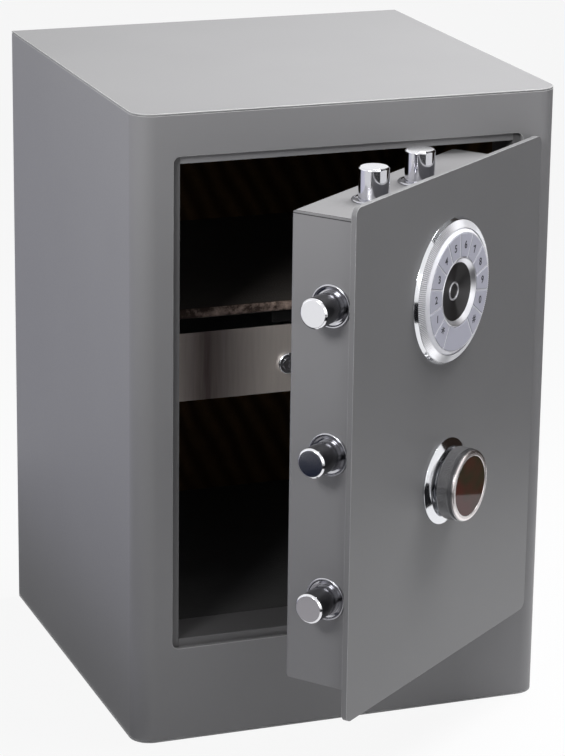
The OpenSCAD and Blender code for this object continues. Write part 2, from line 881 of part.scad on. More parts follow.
// A bright lip round a dark dish, with a small ring at its centre
module keypad_hub() {
    dish_z = keypad_rise - dish_d;
    spot_z = dish_z - dish_slope;
    color(c_dark) on_door() on_face(keypad_z) rotate_extrude() polygon([
        [0, 0], [hub_r, 0], [hub_r, keypad_rise], [hub_r - 0.4, keypad_rise + key_proud],
        [hub_r - 0.9, keypad_rise + key_proud], [dish_r, dish_z], [spot_r, spot_z],
        [spot_r, spot_z + spot_h - 0.4], [spot_r - 0.4, spot_z + spot_h],
        [spot_r - spot_t + 0.3, spot_z + spot_h], [spot_r - spot_t, spot_z + spot_h - 0.4],
        [spot_r - spot_t, spot_z - 0.6], [0, spot_z - 0.6]]);
}

// ------------------------------------------------------------------- knob

module knob_rose() {
    color(c_chrome) on_door() on_face(knob_z) rotate_extrude() polygon([
        [spindle_r + run_gap, 0], [rose_r, 0], [rose_r, rose_edge], [rose_r - 0.6, rose_edge + 0.4],
        [neck_r + 6, rose_t], [neck_r + 4, rose_t], [neck_r + 3, rose_t - 2],
        [neck_r - 4, rose_t - 2], [neck_r - 5, rose_t], [spindle_r + run_gap, rose_t]]);
}

// A narrow neck, a ribbed grip, a smooth band and a bevelled rim round the cap
module knob_grip() {
    grip_z = grip_from + neck_l;
    rim_z = knob_out - rim_l;
    band_z = rim_z - band_l;
    color(c_chrome) on_door() on_face(knob_z) difference() {
        union() {
            translate([0, 0, grip_from]) cylinder(h = neck_l + over, r = neck_r);
            translate([0, 0, grip_z]) linear_extrude(band_z - grip_z) polygon([
                for (i = [0:2 * grip_ribs - 1])
                    (grip_r - (i % 2) * rib_d) * [cos(i * 180 / grip_ribs), sin(i * 180 / grip_ribs)]]);
            rotate_extrude() polygon([
                [0, band_z], [band_r, band_z], [band_r, rim_z - 0.4], [knob_r, rim_z],
                [knob_r, rim_z + 0.3], [cap_r + 0.8, knob_out], [0, knob_out]]);
        }
        translate([0, 0, knob_out - cap_t - cap_in]) cylinder(h = cap_t + over, r = cap_r + run_gap);
        cylinder(h = knob_out - 6, r = spindle_r);
    }
}

module knob_cap() {
    color(c_dark) on_door() on_face(knob_z) translate([0, 0, knob_out - cap_t - cap_in])
        cylinder(h = cap_t, r = cap_r);
}

module knob_spindle() {
    nut_y = cam_y + cam_t;
    color(c_steel) on_door() {
        y_rod(0, knob_z, spindle_r, -knob_out + 6, nut_y + nut_l + 2);
        translate([0, nut_y + nut_l, knob_z]) rotate([90, 0, 0])
            cylinder(h = nut_l, r = nut_r, $fn = 6);
    }
}

// Centre line of a cam slot: it draws in by the bolts' travel over the knob's turn
function slot_r(turn) = pin_out - bolt_travel * turn / slot_turn;
function slot_mid(at, turn) = slot_r(turn) * [cos(at + turn), sin(at + turn)];
function slot_way(at, turn) =
    -bolt_travel / (slot_turn * PI / 180) * [cos(at + turn), sin(at + turn)]
    + slot_r(turn) * [-sin(at + turn), cos(at + turn)];
function slot_side(at, turn, reach) =
    slot_mid(at, turn)
    + reach * [slot_way(at, turn).y, -slot_way(at, turn).x] / norm(slot_way(at, turn));

module cam_slot(at) {
    reach = pin_r + slot_gap;
    polygon(concat(
        [for (turn = [0:slot_step:slot_turn]) slot_side(at, turn, reach)],
        [for (turn = [slot_turn:-slot_step:0]) slot_side(at, turn, -reach)]));
    for (turn = [0, slot_turn])
        translate(slot_mid(at, turn)) circle(reach);
}

// Two spiral slots draw the bolt bars in as the disc turns a quarter
module drive_cam() {
    color(c_steel) on_door() translate([0, 0, knob_z]) difference() {
        union() {
            upright(cam_y, cam_y + cam_t) difference() {
                circle(cam_r);
                for (at = [side_slot_at, top_slot_at])
                    cam_slot(at);
                translate([cam_r - notch_d, -notch_w / 2]) square([notch_d + over, notch_w]);
            }
            y_rod(0, 0, spindle_r + 5, cam_y - 5, cam_y + over);
        }
        y_rod(0, 0, spindle_r, cam_y - 5 - over, cam_y + cam_t + over);
    }
}

// ------------------------------------------------------------------ bolts

// A bolt standing on its bar, with a chamfered rim
module bolt(length) {
    rotate_extrude() polygon([
        [0, 0], [bolt_r, 0], [bolt_r, length - chamfer], [bolt_r - chamfer, length], [0, length]]);
}

// The round pin on a bar's link, standing in the cam's slot
module cam_pin(x, z) {
    y_rod(x, z, pin_r, link_y, cam_y + cam_t - 1);
}

module side_bolts() {
    color(c_chrome) on_door()
        for (z = side_zs)
            translate([case_x0 + side_in, bolt_y, z]) rotate([0, -90, 0]) bolt(side_in + bolt_out);
}

module side_bolt_bar() {
    x0 = case_x0 + side_in;
    color(c_steel) on_door() {
        block([x0, bolt_y - bar_w / 2, side_low - bar_over],
            [x0 + bar_t, bolt_y + bar_w / 2, side_high + bar_over]);
        block([x0, link_y, knob_z - link_w / 2],
            [-pin_out + pin_r + 3, link_y + link_t, knob_z + link_w / 2]);
        cam_pin(-pin_out, knob_z);
    }
}

module top_bolts() {
    color(c_chrome) on_door()
        for (x = top_xs)
            translate([x, bolt_y, top_bar_z]) bolt(top_in + bolt_out);
}

// A bar across the feet of the top bolts, with a link to the cam
module top_bolt_bar() {
    link_end = knob_z + pin_out - pin_r - 3;
    color(c_steel) on_door() {
        block([top_xs[0] - bar_over, bolt_y - bar_w / 2, top_bar_z - bar_t],
            [max(top_xs[1] + bar_over, link_w / 2), bolt_y + bar_w / 2, top_bar_z]);
        block([-link_w / 2, link_y, link_end], [link_w / 2, link_y + link_t, top_bar_z]);
        cam_pin(0, knob_z + pin_out);
    }
}

front_frame();
side_sheet(-1);  // left_side
side_sheet(1);  // right_side
end_sheet(body_h - wall_t);  // top_plate
end_sheet(0);  // bottom_plate
back_plate();
left_jamb();
right_jamb();
head_jamb();
sill_jamb();
hinge_brackets();
hinge_pins();
floor_panel();
floor_mat();
wall_linings();
shelf();
shelf_brackets();
drawer_runners();
drawer_keeper();
door_plate();
hinge_arms();
lock_case();
case_cover();
cover_screws();
battery_box();
bolt_collars();
solenoid_body();
keypad_bezel();
keypad_ring();
keypad_face();
keypad_blank();
keypad_hub();
knob_rose();
for (i = [0:len(key_names) - 1])
    key(i);
knob_grip();
knob_cap();
knob_spindle();
drive_cam();
blocking_pin();
side_bolts();
side_bolt_bar();
top_bolts();
top_bolt_bar();
drawer_tray();
drawer_front();
drawer_lock_barrel();
drawer_lock_cam();
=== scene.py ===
import math

import bmesh
import bpy
from mathutils import Matrix, Vector


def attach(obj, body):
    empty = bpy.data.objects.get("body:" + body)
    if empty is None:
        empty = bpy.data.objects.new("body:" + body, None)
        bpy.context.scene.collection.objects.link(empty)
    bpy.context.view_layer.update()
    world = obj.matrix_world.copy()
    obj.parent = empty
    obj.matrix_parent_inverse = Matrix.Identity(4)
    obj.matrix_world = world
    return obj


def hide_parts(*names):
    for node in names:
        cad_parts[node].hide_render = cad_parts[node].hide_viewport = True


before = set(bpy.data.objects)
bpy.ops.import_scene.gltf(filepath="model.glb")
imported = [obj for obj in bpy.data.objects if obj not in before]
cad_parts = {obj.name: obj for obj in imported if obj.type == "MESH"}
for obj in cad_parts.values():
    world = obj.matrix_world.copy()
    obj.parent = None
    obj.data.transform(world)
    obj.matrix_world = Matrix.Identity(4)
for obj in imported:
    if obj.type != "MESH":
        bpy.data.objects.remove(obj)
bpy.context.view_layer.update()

# ---------------------------------------------------------------- camera
# A long lens a little above the safe and to its left, with the very slight tilt of
# the picture. Its place is measured from the centre of the base.

camera_place = Vector((-1.0129, -2.7586, 1.19525))
camera_azimuth = math.radians(-20.37)
camera_elevation = math.radians(17.30)
camera_roll = math.radians(0.78)
camera_back = Vector((
    math.sin(camera_azimuth) * math.cos(camera_elevation),
    -math.cos(camera_azimuth) * math.cos(camera_elevation),
    math.sin(camera_elevation)))

camera_data = bpy.data.cameras.new("camera")
camera_data.sensor_width = 36
camera_data.lens = 148.6
camera_data.clip_start = 0.1
camera_data.clip_end = 60
camera = bpy.data.objects.new("camera", camera_data)
bpy.context.scene.collection.objects.link(camera)
camera.matrix_world = (
    Matrix.Translation(camera_place)
    @ camera_back.to_track_quat("Z", "Y").to_matrix().to_4x4()
    @ Matrix.Rotation(camera_roll, 4, "Z"))
bpy.context.scene.camera = camera
bpy.context.scene.view_settings.view_transform = "Standard"

# ---------------------------------------------------------------- studio
# A white sweep: camera, mirror and glass see it as plain white, while the object is
# lit only by four soft lamps and a dim sky, and the floor keeps a soft shadow.

world = bpy.data.worlds.new("studio")
bpy.context.scene.world = world
world.use_nodes = True
sky = world.node_tree.nodes
sky_links = world.node_tree.links
sky.clear()


def seen_directly(nodes, links):
    """A mask that is 1 for rays from the camera, a mirror or glass."""
    path = nodes.new("ShaderNodeLightPath")
    first = nodes.new("ShaderNodeMath")
    first.operation = "MAXIMUM"
    links.new(path.outputs["Is Camera Ray"], first.inputs[0])
    links.new(path.outputs["Is Glossy Ray"], first.inputs[1])
    both = nodes.new("ShaderNodeMath")
    both.operation = "MAXIMUM"
    links.new(first.outputs[0], both.inputs[0])
    links.new(path.outputs["Is Transmission Ray"], both.inputs[1])
    return both.outputs[0]


sky_dim = sky.new("ShaderNodeBackground")
sky_dim.inputs["Color"].default_value = (0.92, 0.94, 1.0, 1)
sky_dim.inputs["Strength"].default_value = 0.25
sky_white = sky.new("ShaderNodeBackground")
sky_white.inputs["Color"].default_value = (1, 1, 1, 1)
sky_white.inputs["Strength"].default_value = 1
sky_mix = sky.new("ShaderNodeMixShader")
sky_out = sky.new("ShaderNodeOutputWorld")
sky_links.new(seen_directly(sky, sky_links), sky_mix.inputs[0])
sky_links.new(sky_dim.outputs[0], sky_mix.inputs[1])
sky_links.new(sky_white.outputs[0], sky_mix.inputs[2])
sky_links.new(sky_mix.outputs[0], sky_out.inputs[0])

floor_reach = 12
floor_mesh = bpy.data.meshes.new("studio_floor")
floor_bm = bmesh.new()
bmesh.ops.create_grid(floor_bm, x_segments=1, y_segments=1, size=floor_reach)
floor_bm.to_mesh(floor_mesh)
floor_bm.free()
studio_floor = bpy.data.objects.new("studio_floor", floor_mesh)
bpy.context.scene.collection.objects.link(studio_floor)
floor_paint = bpy.data.materials.new("studio_floor")
floor_paint.use_nodes = True
paint_nodes = floor_paint.node_tree.nodes
paint_links = floor_paint.node_tree.links
paint_nodes.clear()
floor_pale = paint_nodes.new("ShaderNodeBsdfDiffuse")
floor_pale.inputs["Color"].default_value = (0.55, 0.55, 0.56, 1)
floor_white = paint_nodes.new("ShaderNodeEmission")
floor_white.inputs["Strength"].default_value = 1
floor_share = paint_nodes.new("ShaderNodeMath")
floor_share.operation = "MULTIPLY"
floor_share.inputs[1].default_value = 0.91  # the rest shows the shadow
floor_mix = paint_nodes.new("ShaderNodeMixShader")
floor_out = paint_nodes.new("ShaderNodeOutputMaterial")
paint_links.new(seen_directly(paint_nodes, paint_links), floor_share.inputs[0])
paint_links.new(floor_share.outputs[0], floor_mix.inputs[0])
paint_links.new(floor_pale.outputs[0], floor_mix.inputs[1])
paint_links.new(floor_white.outputs[0], floor_mix.inputs[2])
paint_links.new(floor_mix.outputs[0], floor_out.inputs[0])
floor_mesh.materials.append(floor_paint)


def soft_lamp(name, place, aim, width, height, power, tint, spread=180):
    """A rectangular softbox at place, turned to the point aim, with its spread in degrees."""
    lamp_data = bpy.data.lights.new(name, "AREA")
    lamp_data.shape = "RECTANGLE"
    lamp_data.size = width
    lamp_data.size_y = height
    lamp_data.energy = power
    lamp_data.color = tint
    lamp_data.spread = math.radians(spread)
    lamp = bpy.data.objects.new(name, lamp_data)
    bpy.context.scene.collection.objects.link(lamp)
    way = Vector(place) - Vector(aim)
    lamp.matrix_world = (
        Matrix.Translation(place) @ way.to_track_quat("Z", "Y").to_matrix().to_4x4())


soft_lamp("lamp_above", (0.8, -0.1, 1.9), (0.4, -0.2, 0.6), 1.2, 1.2, 20, (1, 1, 1), 100)
soft_lamp("lamp_left", (-2.4, 0.2, 0.9), (-0.2, 0, 0.35), 1.4, 1.2, 5, (0.88, 0.88, 1))
soft_lamp("lamp_key", (-1.4, -1.3, 1.5), (-0.12, -0.35, 0.95), 0.6, 0.6, 4.4, (1, 1, 1), 56)
soft_lamp("lamp_front", (0.1, -2.8, 1.1), (0, 0, 0.3), 1.4, 1.2, 8.5, (1, 1, 1))

# ------------------------------------------------------------- body wrap
# The front and both sides are one 4 mm steel sheet folded round the two front
# corners and cut out for the door, satin grey powder coat over the whole of it.


def new_material(name, colour, roughness, metallic=0.0):
    """A material with its Principled shader: (material, nodes, links, shader)."""
    made = bpy.data.materials.new(name)
    made.use_nodes = True
    nodes, links = made.node_tree.nodes, made.node_tree.links
    nodes.clear()
    shader = nodes.new("ShaderNodeBsdfPrincipled")
    shader.inputs["Base Color"].default_value = (*colour, 1)
    shader.inputs["Roughness"].default_value = roughness
    shader.inputs["Metallic"].default_value = metallic
    output = nodes.new("ShaderNodeOutputMaterial")
    links.new(shader.outputs[0], output.inputs[0])
    return made, nodes, links, shader


def new_group(name, inputs, outputs):
    """An empty shader node group with its sockets: (group, nodes, links, in, out)."""
    group = bpy.data.node_groups.new(name, "ShaderNodeTree")
    for label, kind, value in inputs:
        made = group.interface.new_socket(label, in_out="INPUT", socket_type=kind)
        made.default_value = value
    for label, kind in outputs:
        group.interface.new_socket(label, in_out="OUTPUT", socket_type=kind)
    nodes = group.nodes
    return group, nodes, group.links, nodes.new("NodeGroupInput"), nodes.new("NodeGroupOutput")


def group_node(nodes, group, **values):
    """A node of the group, with its inputs set by name."""
    made = nodes.new("ShaderNodeGroup")
    made.node_tree = group
    for label, value in values.items():
        made.inputs[label].default_value = value
    return made


def math_node(nodes, links, operation, *values):
    """A Math node whose inputs are sockets or numbers; returns its output."""
    made = nodes.new("ShaderNodeMath")
    made.operation = operation
    for socket, value in zip(made.inputs, values):
        if isinstance(value, (int, float)):
            socket.default_value = value
        else:
            links.new(value, socket)
    return made.outputs[0]


def noise_node(nodes, links, vector, scale, detail=2.0, roughness=0.5):
    """A noise texture on the vector; returns its value."""
    made = nodes.new("ShaderNodeTexNoise")
    made.inputs["Scale"].default_value = scale
    made.inputs["Detail"].default_value = detail
    made.inputs["Roughness"].default_value = roughness
    links.new(vector, made.inputs["Vector"])
    return made.outputs["Fac"]


def bump_node(nodes, links, height, strength, distance):
    """A bump from the height; returns its normal."""
    made = nodes.new("ShaderNodeBump")
    made.inputs["Strength"].default_value = strength
    made.inputs["Distance"].default_value = distance
    links.new(height, made.inputs["Height"])
    return made.outputs[0]


def ranged(nodes, links, value, low, high):
    """Maps 0..1 of the value to low..high."""
    made = nodes.new("ShaderNodeMapRange")
    made.inputs["To Min"].default_value = low
    made.inputs["To Max"].default_value = high
    links.new(value, made.inputs["Value"])
    return made.outputs[0]


def mixed(nodes, links, share, first, second):
    """A colour between first and second by the share."""
    made = nodes.new("ShaderNodeMix")
    made.data_type = "RGBA"
    made.inputs[6].default_value = (*first, 1)
    made.inputs[7].default_value = (*second, 1)
    links.new(share, made.inputs[0])
    return made.outputs[2]


# Powder coat: a fine peel in the surface and slow clouds in its tone
coat_skin, skin, skin_links, skin_in, skin_out = new_group(
    "coat_skin", [("Peel", "NodeSocketFloat", 1.0)],
    [("Tone", "NodeSocketFloat"), ("Grain", "NodeSocketFloat"), ("Normal", "NodeSocketVector")])
skin_at = skin.new("ShaderNodeTexCoord").outputs["Object"]
skin_fine = noise_node(skin, skin_links, skin_at, 900, 1)
skin_peel = noise_node(skin, skin_links, skin_at, 260, 2)
skin_links.new(noise_node(skin, skin_links, skin_at, 7, 3, 0.55), skin_out.inputs["Tone"])
skin_links.new(skin_fine, skin_out.inputs["Grain"])
skin_sum = math_node(skin, skin_links, "MULTIPLY_ADD", skin_peel, 1.6, skin_fine)
skin_bump = bump_node(skin, skin_links, skin_sum, 0.35, 0.00006)
skin_links.new(skin_in.outputs["Peel"], skin_bump.node.inputs["Strength"])
skin_links.new(skin_bump, skin_out.inputs["Normal"])


def coated(name, dark, light, roughness, peel=0.35):
    """A powder coated steel between two tones."""
    made, nodes, links, shader = new_material(name, light, roughness)
    surface = group_node(nodes, coat_skin, Peel=peel)
    links.new(mixed(nodes, links, surface.outputs["Tone"], dark, light), shader.inputs["Base Color"])
    links.new(ranged(nodes, links, surface.outputs["Grain"], roughness - 0.05, roughness + 0.05),
              shader.inputs["Roughness"])
    links.new(surface.outputs["Normal"], shader.inputs["Normal"])
    return made


def add_piece(name, bm, material, body, stands_for=(), crease=30):
    """Makes the finished piece at the origin, with smooth faces between its creases."""
    bmesh.ops.recalc_face_normals(bm, faces=bm.faces)
    mesh = bpy.data.meshes.new(name)
    bm.to_mesh(mesh)
    bm.free()
    mesh.shade_smooth()
    mesh.set_sharp_from_angle(angle=math.radians(crease))
    for each in material if isinstance(material, tuple) else (material,):
        mesh.materials.append(each)
    piece = bpy.data.objects.new(name, mesh)
    bpy.context.scene.collection.objects.link(piece)
    weighted = piece.modifiers.new("weighted", "WEIGHTED_NORMAL")
    weighted.keep_sharp = True
    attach(piece, body)
    if stands_for:
        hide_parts(*stands_for)


def wire(bm, points, closed=False):
    """Draws a chain of edges through the points; returns its vertices."""
    verts = [bm.verts.new(point) for point in points]
    for pair in zip(verts, verts[1:] + verts[:1] if closed else verts[1:]):
        bm.edges.new(pair)
    return verts


coat = coated("coat", (0.178, 0.176, 0.180), (0.200, 0.198, 0.202), 0.42)
# The eased rims take a much lighter copy of the coat: a painted highlight standing for the light that the
# rounded edges catch.
coat_edge_highlight = coated("coat_edge_highlight", (0.30, 0.30, 0.30), (0.40, 0.40, 0.40), 0.30)

half_width, half_depth = 0.205, 0.2025
wrap_low, wrap_high, wrap_fold, wrap_sheet, wrap_ease = 0.0018, 0.5982, 0.020, 0.004, 0.0006
door_half, door_low, door_high, door_corner = 0.169, 0.092, 0.560, 0.006


def widest_front(bm):
    """The widest face that lies in the body's front plane."""
    return max((face for face in bm.faces if face.calc_center_median().y < 0.0001 - half_depth),
               key=lambda face: face.calc_area())


bm = bmesh.new()
plan = wire(bm, ((-half_width, half_depth, wrap_low), (-half_width, -half_depth, wrap_low),
                 (half_width, -half_depth, wrap_low), (half_width, half_depth, wrap_low)))
bmesh.ops.bevel(bm, geom=plan[1:3], offset=wrap_fold, segments=16, profile=0.5,
                affect="VERTICES", material=-1)
raised = bmesh.ops.extrude_edge_only(bm, edges=bm.edges[:])["geom"]
bmesh.ops.translate(bm, verts=[v for v in raised if isinstance(v, bmesh.types.BMVert)],
                    vec=(0, 0, wrap_high - wrap_low))
flat_front = widest_front(bm)
front_edges = flat_front.edges[:]
bmesh.ops.delete(bm, geom=[flat_front], context="FACES_ONLY")
before = set(bm.edges)
hole = wire(bm, ((-door_half, -half_depth, door_low), (door_half, -half_depth, door_low),
                 (door_half, -half_depth, door_high), (-door_half, -half_depth, door_high)),
            closed=True)
bmesh.ops.bevel(bm, geom=hole, offset=door_corner, segments=6, profile=0.5, affect="VERTICES",
                material=-1)
hole_edges = [edge for edge in bm.edges if edge not in before]
bmesh.ops.triangle_fill(bm, edges=front_edges + hole_edges, use_beauty=True, normal=(0, -1, 0))
bmesh.ops.recalc_face_normals(bm, faces=bm.faces)
if widest_front(bm).normal.y > 0:
    bmesh.ops.reverse_faces(bm, faces=bm.faces)
bmesh.ops.solidify(bm, geom=bm.faces[:], thickness=wrap_sheet)
wrap_rims = [edge for edge in bm.edges
             if edge.is_manifold and edge.calc_face_angle() > math.radians(40)]
# The rims are eased and given the lighter coat, a painted highlight.
bmesh.ops.bevel(bm, geom=wrap_rims, offset=wrap_ease, segments=3, profile=0.5, affect="EDGES",
                clamp_overlap=True, material=1)
add_piece("body_wrap", bm, (coat, coat_edge_highlight), "safe",
          ("front_frame", "left_side", "right_side"))

# --------------------------------------------------- body top and base
# Flat 4 mm plates welded on the wrap's ends: each stands on the folded sheet with a
# fine open seam all round, and its edge is rounded over by the grinding.


def plan_slab(bm, inset, low, high, ease):
    """A slab with the body's plan, drawn in by inset and eased on its rims."""
    x, y = half_width - inset, half_depth - inset
    corners = wire(bm, ((-x, y, low), (-x, -y, low), (x, -y, low), (x, y, low)), closed=True)
    bm.faces.new(corners)
    bmesh.ops.bevel(bm, geom=corners[1:3], offset=wrap_fold - inset, segments=16, profile=0.5,
                    affect="VERTICES", material=-1)
    grown = bmesh.ops.extrude_face_region(bm, geom=bm.faces[:])["geom"]
    bmesh.ops.translate(bm, verts=[v for v in grown if isinstance(v, bmesh.types.BMVert)],
                        vec=(0, 0, high - low))
    if ease:
        rims = [edge for edge in bm.edges if edge.is_manifold and edge.calc_face_angle() > 1
                and edge.verts[0].co.z == edge.verts[1].co.z]
        bmesh.ops.bevel(bm, geom=rims, offset=ease, segments=3, profile=0.5, affect="EDGES",
                        clamp_overlap=True, material=1)


def plate_piece(name, slabs, stands_for):
    """A plate made of slabs, each (inset, low, high, ease)."""
    whole = bmesh.new()
    for slab in slabs:
        part = bmesh.new()
        plan_slab(part, *slab)
        mesh = bpy.data.meshes.new("slab")
        part.to_mesh(mesh)
        part.free()
        whole.from_mesh(mesh)
        bpy.data.meshes.remove(mesh)
    add_piece(name, whole, (coat, coat_edge_highlight), "safe", stands_for)


seat_inset = 0.0041
plate_piece("body_top", ((seat_inset, 0.5960, 0.5990, 0), (0, 0.5985, 0.6, 0.0006)), ("top_plate",))
plate_piece("body_base", ((seat_inset, 0.0010, 0.0040, 0), (0, 0, 0.0015, 0.0005)), ("bottom_plate",))

# ------------------------------------------------------------ back plate
# The same coated sheet, welded in between the sides, with two holes for wall
# anchors. Its cut edges and the holes are lightly rounded.

flat_angle, sharp_angle = math.radians(0.6), math.radians(30)


def eased_mesh(node, radius, segments=3, edge_finish=-1):
    """A copy of the CAD node's mesh, merged, with its sharp edges rounded off."""
    bm = bmesh.new()
    bm.from_mesh(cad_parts[node].data)
    bmesh.ops.remove_doubles(bm, verts=bm.verts, dist=1e-6)
    bmesh.ops.dissolve_limit(bm, angle_limit=flat_angle, verts=bm.verts, edges=bm.edges)
    edges = [edge for edge in bm.edges if edge.is_manifold and edge.calc_face_angle() > sharp_angle]
    bmesh.ops.bevel(bm, geom=edges, offset=radius, segments=segments, profile=0.5, affect="EDGES",
                    clamp_overlap=True, material=edge_finish)
    return bm


def eased_piece(node, name, material, body, radius, segments=3):
    """The CAD node with rounded edges, as a piece that stands for it."""
    edge_finish = 1 if isinstance(material, tuple) else -1
    add_piece(name, eased_mesh(node, radius, segments, edge_finish), material, body, (node,))


eased_piece("back_plate", "back_sheet", coat, "safe", 0.0006)

# --------------------------------------------------------- opening frame
# Folded channels welded behind the opening: they give the ledge that the door
# closes on, and the bolts go through their returns. Their paint is a darker copy of
# the body's coat, painted shade for the inside of the opening; the head, which
# catches more light, keeps the body's lighter coat as painted light.

inner_coat = coated("inner_coat", (0.092, 0.090, 0.092), (0.108, 0.106, 0.108), 0.46)

for side in ("left", "right", "head", "sill"):
    eased_piece(side + "_jamb", side + "_channel", coat if side == "head" else inner_coat, "safe",
                0.0006)

# ---------------------------------------------------------------- hinges
# Two bent steel arms on the door turn on bright pins that stand in pairs of plates
# inside the body's front corner; only their ends show when the door is wide open.

steel_skin, skin, skin_links, skin_in, skin_out = new_group(
    "steel_skin", [("Stretch", "NodeSocketVector", (1.0, 1.0, 1.0))],
    [("Streak", "NodeSocketFloat"), ("Cloud", "NodeSocketFloat"), ("Normal", "NodeSocketVector")])
steel_at = skin.new("ShaderNodeTexCoord").outputs["Object"]
steel_map = skin.new("ShaderNodeVectorMath")
steel_map.operation = "MULTIPLY"
skin_links.new(steel_at, steel_map.inputs[0])
skin_links.new(skin_in.outputs["Stretch"], steel_map.inputs[1])
steel_streak = noise_node(skin, skin_links, steel_map.outputs[0], 220, 2, 0.6)
skin_links.new(steel_streak, skin_out.inputs["Streak"])
skin_links.new(noise_node(skin, skin_links, steel_at, 18, 3), skin_out.inputs["Cloud"])
skin_links.new(bump_node(skin, skin_links, steel_streak, 0.25, 0.00003), skin_out.inputs["Normal"])


def brushed(name, dark, light, roughness, stretch, metallic=1.0):
    """Brushed steel with its streaks along the smallest number of the stretch."""
    made, nodes, links, shader = new_material(name, light, roughness, metallic)
    surface = group_node(nodes, steel_skin, Stretch=stretch)
    links.new(mixed(nodes, links, surface.outputs["Streak"], dark, light), shader.inputs["Base Color"])
    links.new(ranged(nodes, links, surface.outputs["Cloud"], roughness - 0.06, roughness + 0.06),
              shader.inputs["Roughness"])
    links.new(surface.outputs["Normal"], shader.inputs["Normal"])
    return made


bright_steel = brushed("bright_steel", (0.50, 0.50, 0.52), (0.66, 0.66, 0.68), 0.24, (1, 1, 0.1))

eased_piece("hinge_brackets", "hinge_plates", inner_coat, "safe", 0.0006)
eased_piece("hinge_pins", "hinge_pin_pair", bright_steel, "safe", 0.0008)
eased_piece("hinge_arms", "bent_arms", inner_coat, "door", 0.0008)

# ----------------------------------------------------- floor and linings
# The floor is a folded sheet with a felt mat laid on it; thin felt is glued to the
# walls, the back and the ceiling. The nap is short and dark brown-black.

felt_skin, skin, skin_links, skin_in, skin_out = new_group(
    "felt_skin", [("Scale", "NodeSocketFloat", 1.0)],
    [("Tone", "NodeSocketFloat"), ("Normal", "NodeSocketVector")])
felt_at = skin.new("ShaderNodeTexCoord").outputs["Object"]
felt_map = skin.new("ShaderNodeVectorMath")
felt_map.operation = "SCALE"
skin_links.new(felt_at, felt_map.inputs[0])
skin_links.new(skin_in.outputs["Scale"], felt_map.inputs["Scale"])
felt_nap = noise_node(skin, skin_links, felt_map.outputs[0], 520, 3, 0.65)
felt_patch = noise_node(skin, skin_links, felt_map.outputs[0], 45, 3, 0.6)
felt_tone = math_node(skin, skin_links, "MULTIPLY_ADD", felt_patch, 0.6,
                      math_node(skin, skin_links, "MULTIPLY", felt_nap, 0.4))
skin_links.new(felt_tone, skin_out.inputs["Tone"])
skin_links.new(bump_node(skin, skin_links, felt_nap, 0.8, 0.0006), skin_out.inputs["Normal"])


def felt(name, dark, light, sheen, scale=1.0, low=0.0, high=1.0):
    """Short felt between two tones, whose patches stand out more the wider low and high lie."""
    made, nodes, links, shader = new_material(name, light, 0.95)
    surface = group_node(nodes, felt_skin, Scale=scale)
    share = ranged(nodes, links, surface.outputs["Tone"], low, high)
    links.new(mixed(nodes, links, share, dark, light), shader.inputs["Base Color"])
    shader.inputs["Sheen Weight"].default_value = sheen
    shader.inputs["Sheen Roughness"].default_value = 0.5
    shader.inputs["Specular IOR Level"].default_value = 0.1
    links.new(surface.outputs["Normal"], shader.inputs["Normal"])
    return made


# The lining's colour runs in soft slanting streaks of darker and lighter brown
lining_felt, nodes, links, shader = new_material("lining_felt", (0.08, 0.05, 0.02), 0.95)
surface = group_node(nodes, felt_skin)
slant_streaks = nodes.new("ShaderNodeTexWave")
slant_streaks.bands_direction = "DIAGONAL"
slant_streaks.inputs["Scale"].default_value = 14
slant_streaks.inputs["Distortion"].default_value = 3
slant_streaks.inputs["Detail Scale"].default_value = 0.6
steeper = nodes.new("ShaderNodeVectorMath")
steeper.operation = "MULTIPLY"
steeper.inputs[1].default_value = (2, 1, 1)
links.new(nodes.new("ShaderNodeTexCoord").outputs["Object"], steeper.inputs[0])
links.new(steeper.outputs[0], slant_streaks.inputs["Vector"])
share = math_node(nodes, links, "MULTIPLY", slant_streaks.outputs["Fac"], surface.outputs["Tone"])
links.new(mixed(nodes, links, share, (0.056, 0.033, 0.016), (0.20, 0.12, 0.054)),
          shader.inputs["Base Color"])
shader.inputs["Specular IOR Level"].default_value = 0.1
links.new(surface.outputs["Normal"], shader.inputs["Normal"])
mat_felt = felt("mat_felt", (0.018, 0.018, 0.018), (0.042, 0.041, 0.041), 0.1)

eased_piece("floor_panel", "floor_tray", inner_coat, "safe", 0.0006)
eased_piece("floor_mat", "floor_felt", mat_felt, "safe", 0.0009)
eased_piece("wall_linings", "wall_felt", lining_felt, "safe", 0.0006)

# ----------------------------------------------------------------- shelf
# A board wrapped in brown felt, its front edge rounded by the wrapping, lying
# loose on two steel angles.

shelf_felt = felt("shelf_felt", (0.014, 0.011, 0.009), (0.040, 0.032, 0.026), 0.05)
# The faces that look to the front take a far lighter, patchy copy of the felt: painted light where the
# front edge catches the light through the door.
front_lit_felt = felt("front_lit_felt", (0.04, 0.027, 0.022), (0.42, 0.32, 0.27), 0.1, 0.28, -2.6, 3.4)
bm = eased_mesh("shelf", 0.0008)
bm.normal_update()
for face in bm.faces:
    face.material_index = int(face.normal.y < -0.5)
add_piece("shelf_board", bm, (shelf_felt, front_lit_felt), "safe", ("shelf",))
eased_piece("shelf_brackets", "shelf_angles", inner_coat, "safe", 0.0005)
